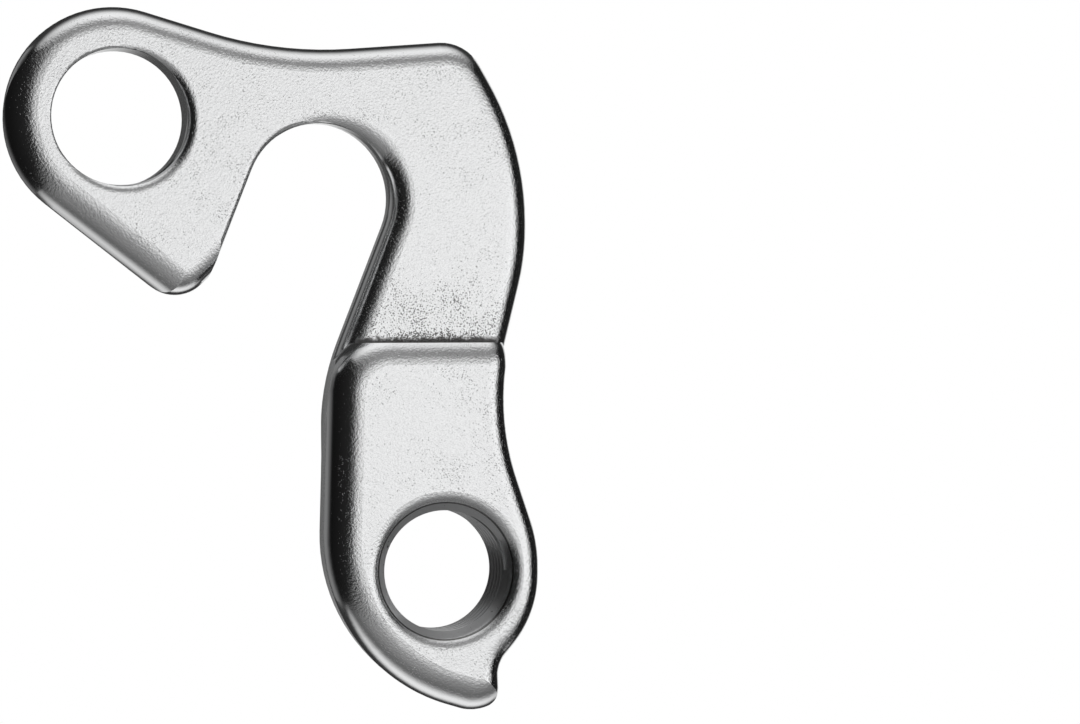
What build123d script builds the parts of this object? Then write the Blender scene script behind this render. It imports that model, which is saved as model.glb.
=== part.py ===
"""Bicycle derailleur hanger, forged in one piece.

Frame: the origin is on the axis of the frame-bolt hole, in the parting plane of the forging.
+X points to the arm, +Z up, and +Y from the front face to the back face.
"""

import os
from math import acos, atan2, cos, degrees, radians, sin, sqrt, tan

from build123d import *

# Lug with the frame-bolt hole
lug_radius = 8.1
lug_offset = 0.25
lug_length = 11.74
lug_tip_radius = 2.8
bolt_bore_radius = 5.0
bolt_bore_round = 0.25
bolt_bore_chamfer = 0.4
bolt_mouth_round = 0.85
bolt_mouth_shift = 0.33
bolt_mouth_angle = -27.0
counterbore_radius = 6.3
counterbore_depth = 1.0
counterbore_lip_round = 0.45

# Slot that clears the axle, open towards the lower left
axle_x = 14.8
axle_z = -5.8
slot_radius = 5.45
slot_angle = 68.5
hook_length = 12.42

# Corners of the arm before rounding, from the axle centre
dip_back = 2.88
dip_rise = 10.65
crown_inset = 4.53
crown_rise = 11.76
arm_reach = 15.8
arm_rise = 3.92
arm_drop = 4.34
dip_radius = 29.0
shoulder_radius = 3.3
bow_drop = 1.71
arm_flat = 0.42

# Corners of the leg before rounding, from the derailleur hole's centre
derailleur_x = 23.5
derailleur_z = -33.4
waist_run = 4.24
waist_share = 0.345
boss_reach = 7.5
boss_rise = 2.0
boss_drop = 3.34
heel_run = 8.81
heel_drop = 7.04
boss_flat = 0.6
heel_radius = 13.0
step_clearance = 0.16

# Stop notch and tail, from the boss's lower corner
chin_run = 3.11
chin_drop = 3.58
tail_run = 0.15
tail_length = 4.19
notch_radius = 2.4
tail_radius = 1.75
tail_gap = 0.9
tail_wide_radius = 3.2
tail_wide_angle = 85.0
chin_gap = 0.9

# Derailleur hole
thread_radius = 5.0
thread_chamfer_front = 0.45
thread_mouth_round = 1.1
thread_chamfer_back = 0.3

# Depths along Y
plate_thickness = 5.0
parting_depth = 2.0
draft_angle = 5.0
step_z = -16.6
block_raise = 3.2
block_lean_angle = 5.5
block_corner_radius = 4.6
block_end_trim = 0.55
block_end_drop = 2.9
recess_depth = 1.2
recess_radius = 10.4
recess_blend_radius = 5.5
recess_corner_radius = 0.8

# Edge rounds
front_round = 1.8
lug_round = 2.8
lug_gap = 0.17
lug_ease = 1.0
lug_ease_angle = 25.0
hook_round = 0.5
hook_ease = 0.65
block_round = 1.5
shin_round = 2.6
shin_overlap = 0.06
rim_angle = 43.0
back_round = 1.1

# Parts of the trimming shapes that end up inside the solid or clear of it
foot_drop = 3.6
foot_radius = 2.0
bridge_inset = 2.2
tip_ease_angle = 45.0
blank_lift = 0.004
margin = 12.0


def step_along(point, angle, length):
    """The point at a distance from another one, along a direction given in degrees."""
    return point + Vector(length * cos(radians(angle)), length * sin(radians(angle)))


def meet(a, b, c, d):
    """The point where the line through a and b crosses the line through c and d."""
    along, other, gap = b - a, d - c, c - a
    share = (gap.X * other.Y - gap.Y * other.X) / (along.X * other.Y - along.Y * other.X)
    return a + along * share


def turn_at(before, corner, after):
    """Half of the turn that a chain of edges makes at a corner, in radians."""
    return radians((corner - before).get_angle(after - corner)) / 2


def touch_angle(centre, radius, point, side):
    """Where a line from a point touches a circle, as a direction from its centre in degrees."""
    reach = point - centre
    bearing = degrees(atan2(reach.Y, reach.X))
    return bearing + side * degrees(acos(radius / reach.length))


# The waist and the knee start to curve just above the step
curve_z = step_z + step_clearance

lug_centre = Vector(-lug_offset, 0)
axle_centre = Vector(axle_x, axle_z)
derailleur_centre = Vector(derailleur_x, derailleur_z)

# Corners of the outline, clockwise from the top of the lug
dip_corner = axle_centre + Vector(-dip_back, dip_rise)
crown_corner = axle_centre + Vector(arm_reach - crown_inset, crown_rise)
shoulder_corner = axle_centre + Vector(arm_reach, arm_rise)
hip_corner = axle_centre + Vector(arm_reach, -arm_drop)
boss_top_corner = derailleur_centre + Vector(boss_reach, boss_rise)
waist_z = curve_z + waist_share * (boss_top_corner.Y - curve_z)
waist_corner = Vector(derailleur_x + waist_run, waist_z)
boss_low_corner = derailleur_centre + Vector(boss_reach, -boss_drop)
notch_corner = boss_low_corner - Vector(chin_run, chin_drop)
tail_corner = notch_corner + Vector(tail_run, -tail_length)
heel_corner = derailleur_centre - Vector(heel_run, heel_drop)
hook_start = step_along(axle_centre, slot_angle - 90, slot_radius)
knee_corner = step_along(hook_start, slot_angle, -hook_length)
hook_end = step_along(axle_centre, slot_angle + 90, slot_radius)
lug_tip = step_along(hook_end, slot_angle, -lug_length)

# Where the lug's round edge runs into its two straight ones
top_angle = touch_angle(lug_centre, lug_radius, dip_corner, 1)
low_angle = touch_angle(lug_centre, lug_radius, lug_tip, -1)
top_start = step_along(lug_centre, top_angle, lug_radius)
lug_edge_end = step_along(lug_centre, low_angle, lug_radius)
lug_arc_size = top_angle - low_angle - 360

# Rounds that share the arm's outer edge
bow_turn = turn_at(crown_corner, shoulder_corner, hip_corner)
hip_turn = turn_at(shoulder_corner, hip_corner, waist_corner)
arm_bow_radius = (arm_rise + bow_drop) / tan(bow_turn)
hip_radius = (arm_drop - bow_drop - arm_flat) / tan(hip_turn)

# Rounds that share the boss's outer edge
boss_upper_turn = turn_at(waist_corner, boss_top_corner, boss_low_corner)
boss_lower_turn = turn_at(boss_top_corner, boss_low_corner, notch_corner)
boss_upper_radius = (boss_rise - boss_flat / 2) / tan(boss_upper_turn)
boss_lower_radius = (boss_drop - boss_flat / 2) / tan(boss_lower_turn)

# Rounds that start just above the step
curve_level = Vector(0, curve_z)
waist_start = meet(hip_corner, waist_corner, curve_level, curve_level + Vector(1, 0))
waist_turn = turn_at(hip_corner, waist_corner, boss_top_corner)
waist_radius = (waist_start - waist_corner).length / tan(waist_turn)
knee_end = meet(knee_corner, hook_start, curve_level, curve_level + Vector(1, 0))
knee_turn = turn_at(heel_corner, knee_corner, hook_start)
knee_radius = (knee_end - knee_corner).length / tan(knee_turn)

arm_corners = [dip_corner, crown_corner, shoulder_corner, hip_corner]
arm_radii = [dip_radius, shoulder_radius, arm_bow_radius, hip_radius]
boss_corners = [waist_corner, boss_top_corner, boss_low_corner]
boss_radii = [waist_radius, boss_upper_radius, boss_lower_radius]
tail_corners = [notch_corner, tail_corner, heel_corner, knee_corner]
tail_radii = [notch_radius, tail_radius, heel_radius, knee_radius]

# Where the trimming shapes end, clear of the arm
right_end = axle_x + arm_reach + margin

# Levels along Y, with the parting plane at zero
parting_plane = Plane.XZ
front_y = -parting_depth
block_y = front_y - block_raise
back_y = plate_thickness - parting_depth
floor_y = back_y - recess_depth

# Outline of the whole hanger, at the parting line of the forging
with BuildSketch(parting_plane) as outline:
    with BuildLine():
        CenterArc(lug_centre, lug_radius, low_angle, lug_arc_size)
        FilletPolyline(
            top_start,
            *arm_corners,
            *boss_corners,
            *tail_corners,
            hook_start,
            radius=arm_radii + boss_radii + tail_radii,
        )
        CenterArc(axle_centre, slot_radius, slot_angle - 90, 180)
        FilletPolyline(hook_end, lug_tip, lug_edge_end, radius=lug_tip_radius)
    make_face()

# Upper front half with its large outer round, the slot still filled and its foot hidden in the leg
foot_level = Vector(0, step_z - foot_drop)
foot_right = meet(hip_corner, waist_corner, foot_level, foot_level + Vector(1, 0))
foot_left = Vector(axle_x - bridge_inset, foot_level.Y)
tip_reach = lug_tip_radius * tan(turn_at(hook_end, lug_tip, lug_edge_end))
tip_centre = step_along(step_along(lug_tip, slot_angle, tip_reach), slot_angle + 90, lug_tip_radius)
ease_point = step_along(tip_centre, tip_ease_angle - 90, lug_tip_radius)
ease_end = step_along(ease_point, tip_ease_angle, lug_tip_radius)
bridge_corner = meet(foot_left, foot_left + Vector(0, 1), ease_point, ease_end)
ease_corner = meet(ease_point, ease_end, lug_tip, lug_edge_end)
upper_corners = arm_corners + [foot_right, foot_left, bridge_corner, ease_corner]
upper_radii = arm_radii + [foot_radius, foot_radius, foot_radius, lug_tip_radius]
with BuildPart() as upper_blank:
    with BuildSketch(parting_plane):
        with BuildLine():
            CenterArc(lug_centre, lug_radius, low_angle, lug_arc_size)
            FilletPolyline(top_start, *upper_corners, lug_edge_end, radius=upper_radii)
        make_face()
    extrude(amount=parting_depth)
    fillet(upper_blank.faces().sort_by(Axis.Y)[0].edges(), front_round)

# Blank of the lug with the larger round of its free side, which fades out towards its top
lug_wide_centre = step_along(lug_centre, lug_ease_angle, lug_ease)
lug_wide_radius = lug_radius + lug_gap + lug_ease
lug_wide_tip = step_along(lug_tip, low_angle, lug_gap)
lug_wide_angle = touch_angle(lug_wide_centre, lug_wide_radius, lug_wide_tip, -1)
lug_wide_start = step_along(lug_wide_centre, lug_wide_angle, lug_wide_radius)
lug_wide_bridge = meet(bridge_corner, foot_left, lug_wide_tip, step_along(lug_wide_tip, tip_ease_angle, 1))
lug_wide_end = foot_left - Vector(0, margin)
lug_wide_top = lug_wide_centre + Vector(0, lug_wide_radius)
with BuildPart() as lug_blank:
    with BuildSketch(parting_plane.offset(-parting_depth)):
        with BuildLine():
            CenterArc(lug_wide_centre, lug_wide_radius, 90, lug_wide_angle + 270)
            rim = FilletPolyline(
                lug_wide_start,
                lug_wide_tip,
                lug_wide_bridge,
                lug_wide_end,
                radius=[lug_tip_radius, foot_radius],
            )
            Polyline(
                rim @ 1,
                (right_end, lug_wide_end.Y),
                (right_end, lug_wide_top.Y),
                lug_wide_top,
            )
        make_face()
    extrude(amount=2 * parting_depth + blank_lift)
    lug_arcs = lug_blank.faces().sort_by(Axis.Y)[0].edges().filter_by(GeomType.CIRCLE)
    fillet(lug_arcs.sort_by(SortBy.RADIUS)[-1], lug_round)


def slotted_plate(arch_radius, edge_round, lift):
    """A plate larger than the hanger, with the slot cut out of it and the slot's front edge rounded."""
    centre = step_along(axle_centre, slot_angle - 90, slot_radius - arch_radius)
    arch_start = step_along(centre, slot_angle - 90, arch_radius)
    arch_end = step_along(centre, slot_angle + 90, arch_radius)
    left = -lug_radius - margin
    top = lug_radius + margin
    bottom = foot_level - Vector(0, margin)
    shin_end = meet(knee_corner, heel_corner, bottom, bottom + Vector(1, 0))
    lug_end = meet(arch_end, step_along(arch_end, slot_angle, 1), bottom, bottom + Vector(1, 0))
    with BuildPart() as plate:
        with BuildSketch(parting_plane.offset(-parting_depth)):
            with BuildLine():
                FilletPolyline(shin_end, knee_corner, arch_start, radius=knee_radius)
                CenterArc(centre, arch_radius, slot_angle - 90, 180)
                Polyline(
                    arch_end,
                    lug_end,
                    (left, lug_end.Y),
                    (left, top),
                    (right_end, top),
                    (right_end, shin_end.Y),
                    shin_end,
                )
            make_face()
        extrude(amount=2 * parting_depth + lift)
        front_arcs = plate.faces().sort_by(Axis.Y)[0].edges().filter_by(GeomType.CIRCLE)
        fillet(front_arcs.sort_by(SortBy.RADIUS)[0], edge_round)
    return plate.part


# The slot's front edge is crisp on the lug and grows to the full round on the arm
crisp_slot = slotted_plate(slot_radius, hook_round, 0)
soft_slot = slotted_plate(slot_radius - hook_ease, front_round, blank_lift)
with BuildPart() as upper_front:
    add(upper_blank.part)
    add(lug_blank.part, mode=Mode.INTERSECT)
    add(crisp_slot, mode=Mode.INTERSECT)
    add(soft_slot, mode=Mode.INTERSECT)

# Blank of the leg with the large round of its rim, shin, heel and tail, clear of the boss
lean_way = Vector(0, -1, 0).rotate(Axis.Z, -block_lean_angle)
lean_length = -block_y / cos(radians(block_lean_angle))
rim_z = step_z + shin_round * (1 - sin(radians(rim_angle)))
rim_level = Vector(0, rim_z)
rim_corner = meet(heel_corner, knee_corner, rim_level, rim_level + Vector(1, 0))
rim_end = meet(hip_corner, waist_corner, rim_level, rim_level + Vector(1, 0)) - Vector(block_end_trim, 0)
tail_wide_corner = tail_corner + (tail_corner - heel_corner).normalized() * tail_gap
chin_way = (boss_low_corner - notch_corner).normalized()
chin_start = notch_corner + Vector(chin_way.Y, -chin_way.X) * chin_gap
tail_wide_side = step_along(tail_wide_corner, tail_wide_angle, 1)
notch_wide_corner = meet(tail_wide_corner, tail_wide_side, chin_start, chin_start + chin_way)
chin_end = notch_wide_corner + chin_way * margin
shin_slack = Vector(shin_overlap, 0)
with BuildPart() as shin_blank:
    with BuildSketch(parting_plane):
        with BuildLine():
            shin = FilletPolyline(
                rim_end,
                rim_corner - shin_slack,
                heel_corner - shin_slack,
                tail_wide_corner - shin_slack,
                notch_wide_corner,
                chin_end,
                radius=[block_corner_radius, heel_radius, tail_wide_radius, notch_radius],
            )
            Polyline(
                shin @ 1,
                (right_end, chin_end.Y),
                (right_end, rim_z - block_end_drop),
                (rim_end.X, rim_z - block_end_drop),
                rim_end,
            )
        make_face()
    extrude(amount=lean_length + blank_lift, dir=lean_way)
    fillet(shin_blank.faces().sort_by(Axis.Y)[0].edges().sort_by(Axis.Z)[-1], shin_round)
    upright_edges = shin_blank.faces().sort_by(Axis.Y)[0].edges().filter_by(Axis.Z)
    fillet(upright_edges.sort_by(Axis.X)[0], block_round)

# Raised block on the leg, leaning slightly to the lug side as it comes forward
leg_width = 2 * (boss_reach + margin)
leg_length = rim_z - tail_corner.Y + margin
with BuildPart() as leg_block:
    with BuildSketch(parting_plane):
        add(outline.sketch)
        with Locations((derailleur_x, rim_z)):
            Rectangle(leg_width, leg_length, align=(Align.CENTER, Align.MAX), mode=Mode.INTERSECT)
    extrude(amount=lean_length, dir=lean_way)
    fillet(leg_block.faces().sort_by(Axis.Y)[0].edges().sort_by(Axis.Z)[:-1], block_round)
    add(shin_blank.part, mode=Mode.INTERSECT)
    split(bisect_by=Plane.XY.offset(step_z), keep=Keep.BOTTOM)

# Tool for the round recess at the back, which clears the derailleur's boss
corner_centre = Vector(derailleur_x + recess_radius, floor_y + recess_corner_radius)
blend_drop = recess_blend_radius - recess_depth + recess_corner_radius
blend_run = sqrt((recess_blend_radius + recess_corner_radius) ** 2 - blend_drop**2)
blend_centre = corner_centre + Vector(blend_run, -blend_drop)
corner_share = recess_corner_radius / (recess_blend_radius + recess_corner_radius)
corner_end = corner_centre + (blend_centre - corner_centre) * corner_share
derailleur_axis = Axis((derailleur_x, 0, derailleur_z), (0, 1, 0))
with BuildPart() as boss_recess:
    with BuildSketch(Plane.XY.offset(derailleur_z)):
        with BuildLine():
            floor = Line((derailleur_x, floor_y), (corner_centre.X, floor_y))
            corner = TangentArc(floor @ 1, corner_end, tangent=floor % 1)
            blend = TangentArc(corner @ 1, (blend_centre.X, back_y), tangent=corner % 1)
            Polyline(
                blend @ 1,
                (blend_centre.X, back_y + margin),
                (derailleur_x, back_y + margin),
                floor @ 0,
            )
        make_face()
    revolve(axis=derailleur_axis)
    with BuildSketch(parting_plane.offset(-floor_y)):
        with Locations((derailleur_x, derailleur_z)):
            Rectangle(2 * recess_radius, recess_radius + margin, align=(Align.CENTER, Align.MAX))
    extrude(amount=margin, dir=(0, 1, 0))

# Back half with its draft, then the front pieces, then the holes
seat_y = back_y - counterbore_depth
mouth_centre = step_along(Vector(0, 0), bolt_mouth_angle, bolt_mouth_shift)
mouth_radius = bolt_bore_radius - bolt_mouth_shift
mouth_axis = Axis((mouth_centre.X, 0, mouth_centre.Y), (0, 1, 0))
with BuildPart() as hanger_body:
    extrude(outline.sketch, amount=back_y, dir=(0, 1, 0))
    draft(hanger_body.faces().filter_by(Axis.Y, reverse=True), parting_plane, -draft_angle)
    add(boss_recess.part, mode=Mode.SUBTRACT)
    back_edges = hanger_body.faces().sort_by(Axis.Y)[-1].edges()
    fillet(back_edges.sort_by_distance((-lug_radius - margin, back_y, 0))[0], back_round)
    add(upper_front.part)
    add(leg_block.part)
    # Frame-bolt hole: round mouth in front, counterbore for the nut's flange at the back
    with BuildSketch(Plane.XY):
        with BuildLine():
            mouth = TangentArc(
                (bolt_bore_radius + bolt_bore_round, front_y),
                (bolt_bore_radius, front_y + bolt_bore_round),
                tangent=(-1, 0),
            )
            wall = Polyline(
                mouth @ 1,
                (bolt_bore_radius, seat_y - bolt_bore_chamfer),
                (bolt_bore_radius + bolt_bore_chamfer, seat_y),
                (counterbore_radius, seat_y),
                (counterbore_radius, back_y - counterbore_lip_round),
            )
            lip = TangentArc(
                wall @ 1,
                (counterbore_radius + counterbore_lip_round, back_y),
                tangent=(0, 1),
            )
            Polyline(
                lip @ 1,
                (counterbore_radius + counterbore_lip_round, back_y + margin),
                (0, back_y + margin),
                (0, front_y - margin),
                (bolt_bore_radius + bolt_bore_round, front_y - margin),
                mouth @ 0,
            )
        make_face()
    revolve(axis=Axis.Y, mode=Mode.SUBTRACT)
    # The bolt hole's front edge is worn round on the arm side
    with BuildSketch(Plane.XY.offset(mouth_centre.Y)):
        with BuildLine():
            worn = TangentArc(
                (mouth_centre.X + mouth_radius + bolt_mouth_round, front_y),
                (mouth_centre.X + mouth_radius, front_y + bolt_mouth_round),
                tangent=(-1, 0),
            )
            Polyline(
                worn @ 1,
                (mouth_centre.X, front_y + bolt_mouth_round),
                (mouth_centre.X, front_y - margin),
                (mouth_centre.X + mouth_radius + bolt_mouth_round, front_y - margin),
                worn @ 0,
            )
        make_face()
    revolve(axis=mouth_axis, mode=Mode.SUBTRACT)
    # Derailleur hole at its thread's full radius, countersunk at both ends and soft-edged in front
    mouth_run = thread_mouth_round * tan(radians(45 / 2))
    mouth_edge = derailleur_x + thread_radius + thread_chamfer_front
    with BuildSketch(Plane.XY.offset(derailleur_z)):
        with BuildLine():
            soft = TangentArc(
                (mouth_edge + mouth_run, block_y),
                (mouth_edge - mouth_run * sin(radians(45)), block_y + mouth_run * sin(radians(45))),
                tangent=(-1, 0),
            )
            Polyline(
                soft @ 1,
                (derailleur_x + thread_radius, block_y + thread_chamfer_front),
                (derailleur_x + thread_radius, floor_y - thread_chamfer_back),
                (derailleur_x + thread_radius + thread_chamfer_back + margin, floor_y + margin),
                (derailleur_x, floor_y + margin),
                (derailleur_x, block_y - margin),
                (mouth_edge + mouth_run, block_y - margin),
                soft @ 0,
            )
        make_face()
    revolve(axis=derailleur_axis, mode=Mode.SUBTRACT)

hanger_body.part.label = "hanger_body"
os.makedirs("parts", exist_ok=True)
export_step(hanger_body.part, "parts/hanger_body.step")
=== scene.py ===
# %% [markdown]
# A bicycle's derailleur hanger is a small forging of bright aluminium. It has a lug for the bolt that
# holds it on the frame, an open slot for the axle, and a thicker leg with the derailleur's thread.
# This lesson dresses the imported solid: a smooth skin, a wound thread, two finishes of one metal, a tent
# of cards for the light, a floor and a camera.

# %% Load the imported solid
import bpy
import math
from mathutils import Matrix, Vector


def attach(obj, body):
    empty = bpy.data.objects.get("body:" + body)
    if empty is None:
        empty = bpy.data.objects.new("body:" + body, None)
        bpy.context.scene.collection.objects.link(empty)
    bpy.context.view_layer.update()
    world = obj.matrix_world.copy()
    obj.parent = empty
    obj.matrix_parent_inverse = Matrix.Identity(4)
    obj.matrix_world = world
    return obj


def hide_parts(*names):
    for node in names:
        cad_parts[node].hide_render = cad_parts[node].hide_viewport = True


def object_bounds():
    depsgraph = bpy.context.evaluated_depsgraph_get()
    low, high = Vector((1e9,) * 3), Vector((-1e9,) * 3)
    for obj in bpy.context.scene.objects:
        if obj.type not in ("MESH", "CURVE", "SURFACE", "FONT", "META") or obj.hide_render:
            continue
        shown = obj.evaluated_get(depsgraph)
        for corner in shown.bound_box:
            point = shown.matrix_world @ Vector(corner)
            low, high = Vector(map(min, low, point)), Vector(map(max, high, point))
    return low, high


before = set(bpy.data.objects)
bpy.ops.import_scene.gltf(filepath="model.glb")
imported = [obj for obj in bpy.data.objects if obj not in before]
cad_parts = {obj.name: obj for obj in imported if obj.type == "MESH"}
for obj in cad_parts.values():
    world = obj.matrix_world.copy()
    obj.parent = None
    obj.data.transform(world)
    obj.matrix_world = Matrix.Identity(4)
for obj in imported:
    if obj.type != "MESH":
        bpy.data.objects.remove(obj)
solid_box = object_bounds()
MM = 0.001
print("solid box in metres:", [list(corner) for corner in solid_box])

# %% [markdown]
# The skin of a forging flows: its flats run into its rounds with no line between them. The solid's mesh
# keeps the true direction of the surface at every corner of its facets, so a plain copy shades smoothly
# and still shows the real creases, such as the foot of the step. Shaping the rounds again by hand could
# not be truer.

# %% Copy the solid's facets as the skin
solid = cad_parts["hanger_body"]
skin_mesh = solid.data.copy()
skin_mesh.name = "hanger_skin"
skin = bpy.data.objects.new("hanger_skin", skin_mesh)
bpy.context.collection.objects.link(skin)
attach(skin, "root")
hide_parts("hanger_body")
print("skin facets:", len(skin_mesh.polygons))

# %% [markdown]
# The lower hole has a fine screw thread with a pitch of one millimetre. The solid stops at the thread's
# full radius, so the turns are added here as one ridge that winds through the hole. A ridge could be
# swept along a curve, but writing its points by formula lets the countersinks cut it at both ends.
# Lengths are in millimetres, and the ridge's foot is buried a little so that no gap shows.

# %% Wind the thread of the derailleur hole
HOLE_X = 23.5
HOLE_Z = -33.4
ROOT_RADIUS = 5.0
CREST_RADIUS = 4.46
PITCH = 1.0
HALF_BASE = PITCH * 7 / 16
HALF_CREST = PITCH / 8
FLANK_ANGLE = math.radians(30)
FRONT_WALL_Y = -4.75
BACK_WALL_Y = 1.5
STEPS_PER_TURN = 120
BURIED = 0.04
CREASE_ANGLE = math.radians(26)


def ridge_radius(radius, y):
    """The ridge's radius where a countersink cuts it, buried a little where nothing is left of it."""
    front_cone = ROOT_RADIUS + FRONT_WALL_Y - y
    back_cone = ROOT_RADIUS + y - BACK_WALL_Y
    return min(max(radius, front_cone, back_cone), ROOT_RADIUS + BURIED)


def wind_thread():
    """A helical ridge with the flat crest and sloping flanks of a metric thread."""
    half_foot = HALF_BASE + BURIED * math.tan(FLANK_ANGLE)
    foot_radius = ROOT_RADIUS + BURIED
    profile = [
        (foot_radius, -half_foot),
        (CREST_RADIUS, -HALF_CREST),
        (CREST_RADIUS, HALF_CREST),
        (foot_radius, half_foot),
    ]
    start, end = FRONT_WALL_Y + half_foot, BACK_WALL_Y - half_foot
    steps = round((end - start) / PITCH * STEPS_PER_TURN)
    points, quads = [], []
    for step in range(steps + 1):
        turn = 2 * math.pi * step / STEPS_PER_TURN
        level = start + (end - start) * step / steps
        for radius, offset in profile:
            y = level + offset
            r = ridge_radius(radius, y)
            x = HOLE_X + r * math.cos(turn)
            z = HOLE_Z + r * math.sin(turn)
            points.append((MM * x, MM * y, MM * z))
    row = len(profile)
    for step in range(steps):
        for side in range(row - 1):
            here = row * step + side
            ahead = here + row
            quads.append((here, here + 1, ahead + 1, ahead))
    mesh = bpy.data.meshes.new("thread_ridge")
    mesh.from_pydata(points, [], quads)
    return mesh


thread_mesh = wind_thread()
thread_mesh.polygons.foreach_set("use_smooth", [True] * len(thread_mesh.polygons))
thread_mesh.set_sharp_from_angle(angle=CREASE_ANGLE)
thread = bpy.data.objects.new("thread_ridge", thread_mesh)
bpy.context.collection.objects.link(thread)
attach(thread, "root")
print("thread facets:", len(thread_mesh.polygons))

# %% [markdown]
# A few small helpers keep the materials readable: one adds a node and fills its sockets, one joins two
# sockets, one turns a value into a soft mask between two limits, one gives the place on the object, and
# the others do sums. Wiring every node by hand would hide what a material does.

# %% Make helpers for node trees


def add_node(tree, kind, values=None, **settings):
    """Adds a node, sets its properties and fills the sockets named in values."""
    node = tree.nodes.new(kind)
    for name, value in settings.items():
        setattr(node, name, value)
    for name, value in (values or {}).items():
        node.inputs[name].default_value = value
    return node


def join(tree, source, target):
    """Joins an output socket to an input socket."""
    tree.links.new(source, target)


def soft_mask(tree, value, low, high):
    """A mask that eases from zero to one as the value goes from low to high."""
    node = add_node(tree, "ShaderNodeMapRange", interpolation_type="SMOOTHSTEP")
    node.inputs["From Min"].default_value = low
    node.inputs["From Max"].default_value = high
    join(tree, value, node.inputs["Value"])
    return node.outputs["Result"]


def place_in_mm(tree):
    """The place on the object in millimetres, as a vector socket."""
    place = add_node(tree, "ShaderNodeTexCoord")
    in_mm = add_node(tree, "ShaderNodeVectorMath", {"Scale": 1 / MM}, operation="SCALE")
    join(tree, place.outputs["Object"], in_mm.inputs[0])
    return in_mm.outputs["Vector"]


def calculate(tree, operation, first, second):
    """A maths node whose two inputs are sockets or plain numbers."""
    node = add_node(tree, "ShaderNodeMath", operation=operation)
    for index, item in enumerate((first, second)):
        if isinstance(item, (int, float)):
            node.inputs[index].default_value = item
        else:
            join(tree, item, node.inputs[index])
    return node.outputs[0]


def product(tree, first, *others):
    """Several masks or values multiplied together."""
    for other in others:
        first = calculate(tree, "MULTIPLY", first, other)
    return first


def distance_from(tree, value, place):
    """How far a value lies from a place, on either side of it."""
    return calculate(tree, "ABSOLUTE", calculate(tree, "SUBTRACT", value, place), 0.0)


print("node helpers made: add_node, join, soft_mask, place_in_mm, calculate, product, distance_from")

# %% [markdown]
# Tumbling leaves a fine grain on the metal: small bumps, and specks where a pore holds a little dirt. The
# skin and the thread both have it, so it is one shader node group. Its inputs set how fine the bumps are,
# how high, and how many specks there are. It gives a height and a mask of the specks. A slow drift makes
# the specks gather in some places, and the noise is turned so that its grid does not follow the part.

# %% Build the grain group
GRAIN_INPUTS = ("Bumps per mm", "Bump height", "Specks per mm", "Speck share")
GRAIN_TURN = (0.6, 0.4, 0.9)
NOISE_MIDDLE = 0.5
DRIFTS_PER_MM = 0.4
DRIFT_STRENGTH = 0.4
SPECK_LEVEL = 0.79
SPECK_SOFTNESS = 0.06


def build_grain():
    """Grain bumps and specks, in millimetres of the object's own space."""
    tree = bpy.data.node_groups.new("tumbled_grain", "ShaderNodeTree")
    for name in GRAIN_INPUTS:
        tree.interface.new_socket(name, in_out="INPUT", socket_type="NodeSocketFloat")
    for name in ("Height", "Specks"):
        tree.interface.new_socket(name, in_out="OUTPUT", socket_type="NodeSocketFloat")
    given = add_node(tree, "NodeGroupInput")
    result = add_node(tree, "NodeGroupOutput")
    turned = add_node(tree, "ShaderNodeMapping", {"Rotation": GRAIN_TURN})
    join(tree, place_in_mm(tree), turned.inputs["Vector"])
    place = turned.outputs["Vector"]

    bumps = add_node(tree, "ShaderNodeTexNoise", {"Detail": 3.0, "Roughness": 0.6})
    join(tree, place, bumps.inputs["Vector"])
    join(tree, given.outputs["Bumps per mm"], bumps.inputs["Scale"])
    centred = calculate(tree, "SUBTRACT", bumps.outputs["Fac"], NOISE_MIDDLE)
    raised = product(tree, centred, given.outputs["Bump height"])

    dots = add_node(tree, "ShaderNodeTexNoise", {"Detail": 0.0})
    join(tree, place, dots.inputs["Vector"])
    join(tree, given.outputs["Specks per mm"], dots.inputs["Scale"])
    drifts = add_node(tree, "ShaderNodeTexNoise", {"Scale": DRIFTS_PER_MM, "Detail": 1.0})
    join(tree, place, drifts.inputs["Vector"])
    sway = calculate(tree, "SUBTRACT", drifts.outputs["Fac"], NOISE_MIDDLE)
    drifted = calculate(tree, "ADD", dots.outputs["Fac"], product(tree, sway, DRIFT_STRENGTH))
    likely = calculate(tree, "ADD", drifted, given.outputs["Speck share"])
    specks = soft_mask(tree, likely, SPECK_LEVEL, SPECK_LEVEL + SPECK_SOFTNESS)

    pit = product(tree, specks, given.outputs["Bump height"])
    height = calculate(tree, "SUBTRACT", raised, pit)
    join(tree, height, result.inputs["Height"])
    join(tree, specks, result.inputs["Specks"])
    return tree


grain = build_grain()


def place_grain(tree, *values):
    """Places the grain group in a material, with a value for each of its inputs."""
    node = add_node(tree, "ShaderNodeGroup", node_tree=grain)
    for name, value in zip(GRAIN_INPUTS, values):
        node.inputs[name].default_value = value
    return node


print("grain group sockets:", [item.name for item in grain.interface.items_tree])

# %% [markdown]
# A forging has flats in front and behind, polished rounds at their edges, and walls around its outline
# and its holes. Each could be picked by hand as a set of facets, but the direction of the surface already
# tells them apart: a flat looks along the holes, a wall looks across them, and a round lies between.

# %% Tell flats, rounds and walls apart
FLAT_FACING = (0.95, 0.997)
EDGE_FACING = (0.6, 0.97)
WALL_FACING = (0.2, 0.1)
BACK_FACING = (0.3, 0.7)


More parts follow.
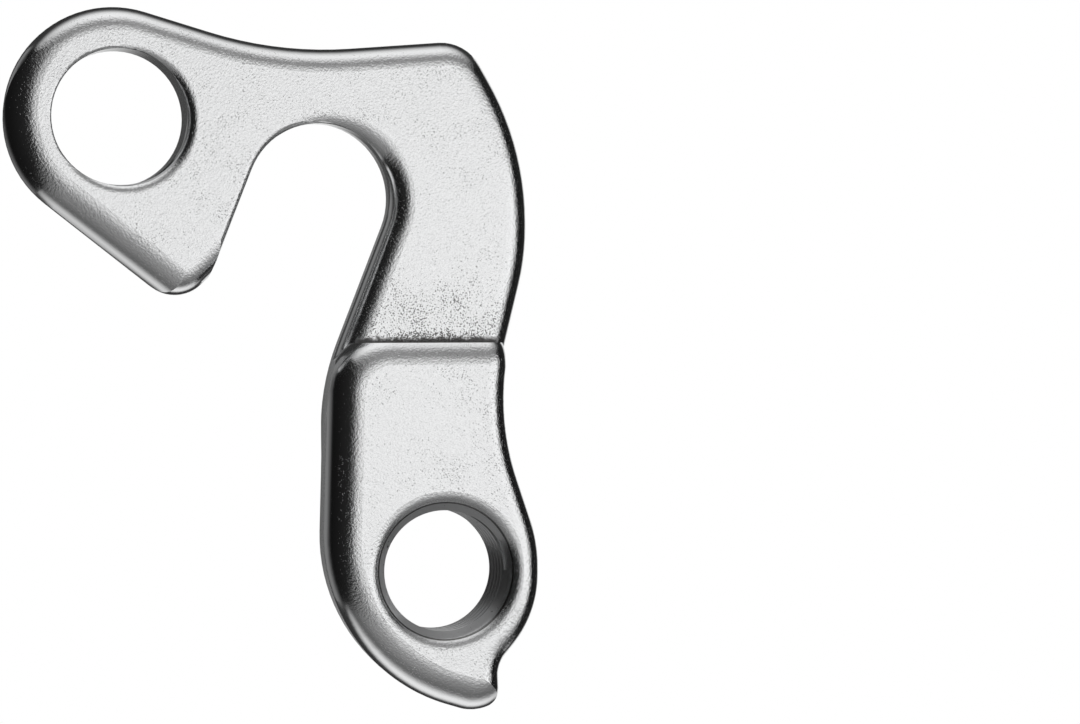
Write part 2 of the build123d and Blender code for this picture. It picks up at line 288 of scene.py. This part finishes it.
def faces_of_forging(tree):
    """Masks of the flats, of the flats with the start of their rounds, of the walls, and of the back."""
    geometry = add_node(tree, "ShaderNodeNewGeometry")
    direction = add_node(tree, "ShaderNodeSeparateXYZ")
    join(tree, geometry.outputs["Normal"], direction.inputs["Vector"])
    facing = calculate(tree, "ABSOLUTE", direction.outputs["Y"], 0.0)
    flat = soft_mask(tree, facing, *FLAT_FACING)
    edge = soft_mask(tree, facing, *EDGE_FACING)
    wall = soft_mask(tree, facing, *WALL_FACING)
    behind = soft_mask(tree, direction.outputs["Y"], *BACK_FACING)
    return flat, edge, wall, behind


print("a surface turns flat as it faces along the holes by", FLAT_FACING)

# %% [markdown]
# The upper face ends at a straight step, where the leg comes forward. Tumbling stones cannot reach the
# step's foot, so specks of dirt crowd towards it and heap up at its middle, while a dark line of painted
# shade is laid along the corner. The specks and the painted shade could be drawn in a picture, but masks
# worked out from the place on the part need no picture. A noise stirs their upper limits, so that the
# specks and the painted shade end raggedly.

# %% Find the foot of the step
STEP_Z = -16.6
FRONT_Y = -2.0
ARM_X = (11.0, 13.5)
FACE_DEPTH = (0.4, 0.1)
CORNER_Z = (STEP_Z - 0.2, STEP_Z - 0.1)
CROWD_Z = (STEP_Z + 9.0, STEP_Z + 0.4)
HEAP_Z = (STEP_Z + 1.3, STEP_Z + 0.4)
FOOT_Z = (STEP_Z + 0.55, STEP_Z + 0.2)
HEAP_MIDDLE_X = 22.7
HEAP_REACH = (4.5, 1.5)
RAGGED_NOISE = {"Scale": 2.2, "Detail": 4.0, "Roughness": 0.7}


def foot_of_step(tree, across, depth, up):
    """Masks on the upper face: where specks crowd, where they heap up, and the foot that gets painted
    shade.
    """
    on_arm = soft_mask(tree, across, *ARM_X)
    on_face = soft_mask(tree, distance_from(tree, depth, FRONT_Y), *FACE_DEPTH)
    above_corner = soft_mask(tree, up, *CORNER_Z)
    arm_face = product(tree, on_arm, on_face, above_corner)

    ragged = add_node(tree, "ShaderNodeTexNoise", RAGGED_NOISE)
    join(tree, place_in_mm(tree), ragged.inputs["Vector"])
    stir = calculate(tree, "SUBTRACT", ragged.outputs["Fac"], NOISE_MIDDLE)
    stirred = calculate(tree, "ADD", up, stir)
    crowd = soft_mask(tree, stirred, *CROWD_Z)
    at_middle = soft_mask(tree, distance_from(tree, across, HEAP_MIDDLE_X), *HEAP_REACH)
    heap = product(tree, soft_mask(tree, stirred, *HEAP_Z), at_middle)
    # The foot band is darkened with painted shade in the corner.
    foot = soft_mask(tree, stirred, *FOOT_Z)
    return [product(tree, mask, arm_face) for mask in (crowd, heap, foot)]


print("specks crowd between heights in mm:", CROWD_Z)

# %% [markdown]
# The mouth of the lower hole is cut by a tool after the forging, so its finish differs from the rounds
# around it, and a thin dark line of painted shade marks the crease where the thread starts. Both could be
# split off as facets of their own, but they are round about the hole's axis, so the distance from that
# axis finds them.

# %% Find the mouth of the derailleur hole
MOUTH_RADIUS = (5.7, 5.4)
THREAD_LINE_RADIUS = ROOT_RADIUS + 0.02
THREAD_LINE_WIDTH = (0.12, 0.05)
THREAD_LINE_Y = (FRONT_WALL_Y + 0.3, FRONT_WALL_Y + 0.1)


def mouth_of_hole(tree, across, depth, up):
    """Masks of the bored mouth, and of the thin line of painted shade where the thread starts."""
    seen_along = add_node(tree, "ShaderNodeCombineXYZ")
    join(tree, across, seen_along.inputs["X"])
    join(tree, up, seen_along.inputs["Z"])
    off_axis = add_node(tree, "ShaderNodeVectorMath", operation="DISTANCE")
    join(tree, seen_along.outputs["Vector"], off_axis.inputs[0])
    off_axis.inputs[1].default_value = (HOLE_X, 0.0, HOLE_Z)
    radius = off_axis.outputs["Value"]
    mouth = soft_mask(tree, radius, *MOUTH_RADIUS)
    # A thin line of painted shade where the thread starts.
    line = soft_mask(tree, distance_from(tree, radius, THREAD_LINE_RADIUS), *THREAD_LINE_WIDTH)
    in_front = soft_mask(tree, depth, *THREAD_LINE_Y)
    return mouth, product(tree, line, in_front)


print("mouth ends at a radius in mm of", MOUTH_RADIUS[0])

# %% [markdown]
# The forged skin and the cut thread are the same aluminium, so both finishes start as a shader that is
# all metal, and both raise bumps from a height. Three helpers do this and blend two values by a mask.
# Each finish could be wired out in full, but this way it lists only what is its own.

# %% Make helpers for metals


def blend(tree, kind, mask, first, second):
    """A mix of two values or colours, given as sockets or constants."""
    node = add_node(tree, "ShaderNodeMix", data_type=kind)
    sockets = [socket for socket in node.inputs if socket.enabled]
    for socket, item in zip(sockets, (mask, first, second)):
        if isinstance(item, bpy.types.NodeSocket):
            join(tree, item, socket)
        else:
            socket.default_value = item
    return [socket for socket in node.outputs if socket.enabled][0]


def start_metal(name):
    """A new metal, with its node tree and its shader."""
    material = bpy.data.materials.new(name)
    material.use_nodes = True
    tree = material.node_tree
    metal = tree.nodes["Principled BSDF"]
    metal.inputs["Metallic"].default_value = 1.0
    return material, tree, metal


def raise_bumps(tree, height, metal):
    """Turns a height in millimetres into bumps on the metal."""
    bump = add_node(tree, "ShaderNodeBump", {"Strength": 1.0, "Distance": MM})
    join(tree, height, bump.inputs["Height"])
    join(tree, bump.outputs["Normal"], metal.inputs["Normal"])


print("metal helpers made: blend, start_metal, raise_bumps")

# %% [markdown]
# The finish of the forging is one metal with several faces. The flats are satin, finely grained in front
# and coarsely pebbled behind, where the die was rougher. The tumbling stones polish the rounds, and the
# walls are nearly as satin as the flats. Each face could have a material of its own, but one shader with
# masks on its roughness, colour and bumps lets them run into each other without a seam.

# %% Mix the bright aluminium
BRIGHT = (0.93, 0.935, 0.94, 1.0)
SPECK = (0.15, 0.147, 0.143, 1.0)
# Dark grey for painted shade at the step's foot and the thread's start, and for the real dirt specks of
# the thread.
DIRT_AND_SHADE = (0.13, 0.127, 0.123, 1.0)
ROUND_ROUGHNESS = 0.16
FLAT_ROUGHNESS = 0.24
WALL_ROUGHNESS = 0.22
MOUTH_ROUGHNESS = 0.24
FOOT_ROUGHNESS = 0.6
SHADE_STRENGTH = 0.9
SPECK_SHARE = 0.01
CROWD_SHARE = 0.13
CROWD_POWER = 1.3
HEAP_SHARE = 0.22
FAINT_SPECKS = 0.3
DARKER_SPECKS = 0.6
FINE_GRAIN = (6.0, 0.035, 10.0, SPECK_SHARE)
PEBBLES = (1.7, 0.09, 2.4, 0.0)


def build_aluminium():
    """Forged and tumbled aluminium for the skin."""
    material, tree, metal = start_metal("bright_aluminium")
    flat, edge, wall, behind = faces_of_forging(tree)
    spot = add_node(tree, "ShaderNodeSeparateXYZ")
    join(tree, place_in_mm(tree), spot.inputs["Vector"])
    across, depth, up = (spot.outputs[axis] for axis in "XYZ")
    crowd, heap, foot = foot_of_step(tree, across, depth, up)
    mouth, thread_line = mouth_of_hole(tree, across, depth, up)

    fine = place_grain(tree, *FINE_GRAIN)
    crowded = product(tree, calculate(tree, "POWER", crowd, CROWD_POWER), CROWD_SHARE)
    gathered = calculate(tree, "ADD", crowded, product(tree, heap, HEAP_SHARE))
    share = calculate(tree, "ADD", gathered, SPECK_SHARE)
    join(tree, share, fine.inputs["Speck share"])
    pebbles = place_grain(tree, *PEBBLES)
    grained = blend(tree, "FLOAT", behind, fine.outputs["Height"], pebbles.outputs["Height"])
    raise_bumps(tree, product(tree, grained, edge), metal)

    satin = blend(tree, "FLOAT", flat, ROUND_ROUGHNESS, FLAT_ROUGHNESS)
    walled = blend(tree, "FLOAT", wall, satin, WALL_ROUGHNESS)
    bored = blend(tree, "FLOAT", mouth, walled, MOUTH_ROUGHNESS)
    rough_foot = blend(tree, "FLOAT", foot, bored, FOOT_ROUGHNESS)
    join(tree, rough_foot, metal.inputs["Roughness"])

    darkness = calculate(tree, "ADD", product(tree, crowd, DARKER_SPECKS), FAINT_SPECKS)
    peppered = product(tree, fine.outputs["Specks"], darkness, flat)
    speckled = blend(tree, "RGBA", peppered, BRIGHT, SPECK)
    # Painted shade: the foot of the step and the start of the thread are darkened in the colour.
    painted_shade = product(tree, calculate(tree, "MAXIMUM", foot, thread_line), SHADE_STRENGTH)
    shaded = blend(tree, "RGBA", painted_shade, speckled, DIRT_AND_SHADE)
    join(tree, shaded, metal.inputs["Base Color"])
    return material


aluminium = build_aluminium()
skin_mesh.materials.clear()
skin_mesh.materials.append(aluminium)
print("nodes in the bright aluminium:", len(aluminium.node_tree.nodes))

# %% [markdown]
# A tap cuts the thread after the forging, and leaves a greyer metal with slight chatter marks and a few
# specks. The thread could share the skin's material, but it has no flats and no step, so a short one of
# its own with the same grain group is easier to read.

# %% Mix the cut aluminium of the thread
CUT = (0.68, 0.684, 0.69, 1.0)
CUT_ROUGHNESS = 0.28
CHATTER = (3.0, 0.01, 6.5, -0.05)


def build_cut_metal():
    """Freshly cut aluminium for the turns of the thread."""
    material, tree, metal = start_metal("cut_aluminium")
    metal.inputs["Roughness"].default_value = CUT_ROUGHNESS
    chatter = place_grain(tree, *CHATTER)
    raise_bumps(tree, chatter.outputs["Height"], metal)
    cut = blend(tree, "RGBA", chatter.outputs["Specks"], CUT, DIRT_AND_SHADE)
    join(tree, cut, metal.inputs["Base Color"])
    return material


cut_metal = build_cut_metal()
thread_mesh.materials.append(cut_metal)
print("nodes in the cut aluminium:", len(cut_metal.node_tree.nodes))

# %% [markdown]
# Polished metal shows its surroundings, so the light here is a tent of cards and not a row of lamps. Each
# card glows by a few levels along its length and may have one soft bright pool. A card with one even glow
# would be simpler, but the bands on the rounds of the metal fade softly, and so must the cards.

# %% Make the finish of a card
CARD_START = -1.2
CARD_LENGTH = 1.7
NO_POOL = (0.0, 1.0, 1.0, 0.0)
POOL_EDGE = 1.0
POOL_CORE = 0.1


def build_card_finish(name, levels, pool=NO_POOL):
    """A glow with a level at each of some places along the card, and a pool of light.

    The pool is given by its strength, its reach across and along the card, and its place along it.
    """
    strength, pool_width, pool_length, pool_y = pool
    material = bpy.data.materials.new(name)
    material.use_nodes = True
    tree = material.node_tree
    tree.nodes.remove(tree.nodes["Principled BSDF"])
    glow = add_node(tree, "ShaderNodeEmission")
    join(tree, glow.outputs["Emission"], tree.nodes["Material Output"].inputs["Surface"])
    place = add_node(tree, "ShaderNodeTexCoord")

    along = add_node(tree, "ShaderNodeSeparateXYZ")
    join(tree, place.outputs["Object"], along.inputs["Vector"])
    from_start = calculate(tree, "SUBTRACT", along.outputs["Y"], CARD_START)
    ramp = add_node(tree, "ShaderNodeValToRGB")
    join(tree, product(tree, from_start, 1 / CARD_LENGTH), ramp.inputs["Fac"])
    stops = ramp.color_ramp.elements
    while len(stops) < len(levels):
        stops.new(1.0)
    for stop, (where, level) in zip(stops, levels):
        stop.position = (where - CARD_START) / CARD_LENGTH
        stop.color = (level, level, level, 1.0)

    spread = add_node(tree, "ShaderNodeMapping", {"Scale": (1 / pool_width, 1 / pool_length, 1.0)})
    spread.inputs["Location"].default_value = (0.0, -pool_y / pool_length, 0.0)
    join(tree, place.outputs["Object"], spread.inputs["Vector"])
    distance = add_node(tree, "ShaderNodeVectorMath", operation="LENGTH")
    join(tree, spread.outputs["Vector"], distance.inputs[0])
    bright = soft_mask(tree, distance.outputs["Value"], POOL_EDGE, POOL_CORE)
    total = calculate(tree, "ADD", product(tree, bright, strength), ramp.outputs["Color"])
    join(tree, total, glow.inputs["Strength"])
    return material


print("card levels run from", CARD_START, "over", CARD_LENGTH, "metres")

# %% [markdown]
# A card is one flat rectangle, hung at some distance from the part's middle. A lamp could stand in its
# place, but it would light the floor too. Only reflections see a card, so the floor stays evenly lit.

# %% Cut a card
low, high = (Vector(corner) for corner in solid_box)
middle = (low + high) / 2


def hang_card(name, place, width, span, turn, finish):
    """A flat card that only reflections see, placed from the part's middle."""
    half = width / 2
    start, end = span
    mesh = bpy.data.meshes.new(name)
    corners = [(-half, start, 0), (half, start, 0), (half, end, 0), (-half, end, 0)]
    mesh.from_pydata(corners, [], [(0, 1, 2, 3)])
    mesh.materials.append(finish)
    card = bpy.data.objects.new(name, mesh)
    card.location = middle + Vector(place)
    card.rotation_euler = turn
    card.visible_camera = False
    card.visible_diffuse = False
    card.visible_shadow = False
    bpy.context.collection.objects.link(card)


print("cards hang around", [round(value, 4) for value in middle])

# %% [markdown]
# Two flags stand beside the part, and their black stretches draw its dark edges. The cards above and
# below fade from white in front to nearly black behind, and their pools draw the pale bands along the
# upper and lower rounds. Behind the part the back card is dark for the walls of the holes, while its pool
# and the lighter stretches of the flags let the back shine too. The front stays open to the white world.

# %% Hang the flags and the cards around the part
CARD_HEIGHT = 0.15
CARD_WIDTH = 0.6
CARD_SPAN = (-1.1, 0.45)
LEVEL = (0, 0, 0)
SIDEWAYS = (0, math.radians(90), 0)
FORWARD = (math.radians(90), 0, 0)
TOP_FRONT = [(-1.1, 1.0), (-0.7, 0.94), (-0.45, 0.6), (-0.28, 0.32)]
TOP_BACK = [(-0.12, 0.2), (0.0, 0.18), (0.08, 0.03)]
TOP_POOL = (0.72, 0.18, 0.115, 0.0)
LOW_FRONT = [(-1.1, 1.0), (-0.7, 0.92), (-0.45, 0.58), (-0.28, 0.34)]
LOW_BACK = [(-0.13, 0.24), (-0.01, 0.1), (0.08, 0.03)]
LOW_POOL = (0.8, 0.3, 0.09, 0.07)
LEFT_FRONT = [(-1.0, 1.0), (-0.6, 0.6), (-0.42, 0.3), (-0.26, 0.02)]
LEFT_BACK = [(0.05, 0.004), (0.12, 0.2), (0.2, 0.2), (0.28, 0.03)]
RIGHT_LEVELS = [(-0.3, 0.004), (-0.03, 0.02), (0.05, 0.8), (0.26, 0.8)]
BACK_LEVELS = [(-0.3, 0.06), (0.3, 0.06)]
BACK_POOL = (1.0, 0.14, 0.24, 0.0)
top_finish = build_card_finish("top_card_glow", TOP_FRONT + TOP_BACK, TOP_POOL)
low_finish = build_card_finish("low_card_glow", LOW_FRONT + LOW_BACK, LOW_POOL)
left_finish = build_card_finish("left_flag_black", LEFT_FRONT + LEFT_BACK)
right_finish = build_card_finish("right_flag_black", RIGHT_LEVELS)
back_finish = build_card_finish("back_card_grey", BACK_LEVELS, BACK_POOL)
hang_card("left_flag", (-0.13, 0.0, 0.1), 0.4, (-1.0, 0.48), SIDEWAYS, left_finish)
hang_card("right_flag", (0.2, 0.2, 0.0), 0.6, (-0.3, 0.26), SIDEWAYS, right_finish)
hang_card("top_card", (0.0, -0.02, CARD_HEIGHT), CARD_WIDTH, CARD_SPAN, LEVEL, top_finish)
hang_card("low_card", (0.0, -0.02, -CARD_HEIGHT), CARD_WIDTH, CARD_SPAN, LEVEL, low_finish)
hang_card("back_card", (0.12, 0.46, 0.0), 0.74, (-0.25, 0.25), FORWARD, back_finish)
print("flags and cards hung: left_flag, right_flag, top_card, low_card, back_card")

# %% [markdown]
# The part hangs by its bolt hole, so the pale floor lies well below it. A plain square is enough, since
# the camera's level gaze passes above it.

# %% Lay the floor
FLOOR_HALF = 0.45
FLOOR_Z = -0.24
FLOOR_CORNERS = [(-1, -1), (1, -1), (1, 1), (-1, 1)]
FLOOR_COLOUR = (0.86, 0.86, 0.86, 1.0)
FLOOR_ROUGHNESS = 0.9
floor_mesh = bpy.data.meshes.new("pale_floor")
floor_points = [(FLOOR_HALF * x, FLOOR_HALF * y, FLOOR_Z) for x, y in FLOOR_CORNERS]
floor_mesh.from_pydata(floor_points, [], [(0, 1, 2, 3)])
floor_finish = bpy.data.materials.new("pale_floor")
floor_finish.use_nodes = True
floor_shader = floor_finish.node_tree.nodes["Principled BSDF"]
floor_shader.inputs["Base Color"].default_value = FLOOR_COLOUR
floor_shader.inputs["Roughness"].default_value = FLOOR_ROUGHNESS
floor_mesh.materials.append(floor_finish)
floor = bpy.data.objects.new("pale_floor", floor_mesh)
bpy.context.collection.objects.link(floor)
print("floor at", FLOOR_Z)

# %% [markdown]
# The studio around the part is plain white. A backdrop could stand behind it, but a white world also
# fills the flats of the metal from the front. It has a strength of one, at which a colour renders about as
# it is written. One even colour needs no map of where its light comes from, so that map is left out.

# %% Set the white world
WHITE = (1.0, 1.0, 1.0, 1.0)
world = bpy.data.worlds.new("white_studio")
world.use_nodes = True
world.node_tree.nodes["Background"].inputs["Color"].default_value = WHITE
world.node_tree.nodes["Background"].inputs["Strength"].default_value = 1.0
world.cycles.sampling_method = "NONE"
bpy.context.scene.world = world
bpy.context.scene.view_settings.view_transform = "Standard"
print("view transform:", bpy.context.scene.view_settings.view_transform)

# %% [markdown]
# The camera stands about thirty centimetres away and a little to the left, level with the middle of the
# part, and looks past it to the right, so the part fills the left half of the picture. A long lens keeps
# the outline nearly true. Its place was found by laying the solid's outline over the photograph's.

# %% Place the camera
CAMERA_PLACE = (-0.0378, -0.302, -0.018)
CAMERA_TURN = (89.99, 0.27, -12.97)
camera_data = bpy.data.cameras.new("studio_camera")
camera_data.sensor_width = 36.0
camera_data.lens = 137.6
camera_data.clip_start = 0.01
camera = bpy.data.objects.new("studio_camera", camera_data)
camera.location = CAMERA_PLACE
camera.rotation_euler = [math.radians(angle) for angle in CAMERA_TURN]
bpy.context.collection.objects.link(camera)
bpy.context.scene.camera = camera
print("camera lens:", camera_data.lens)
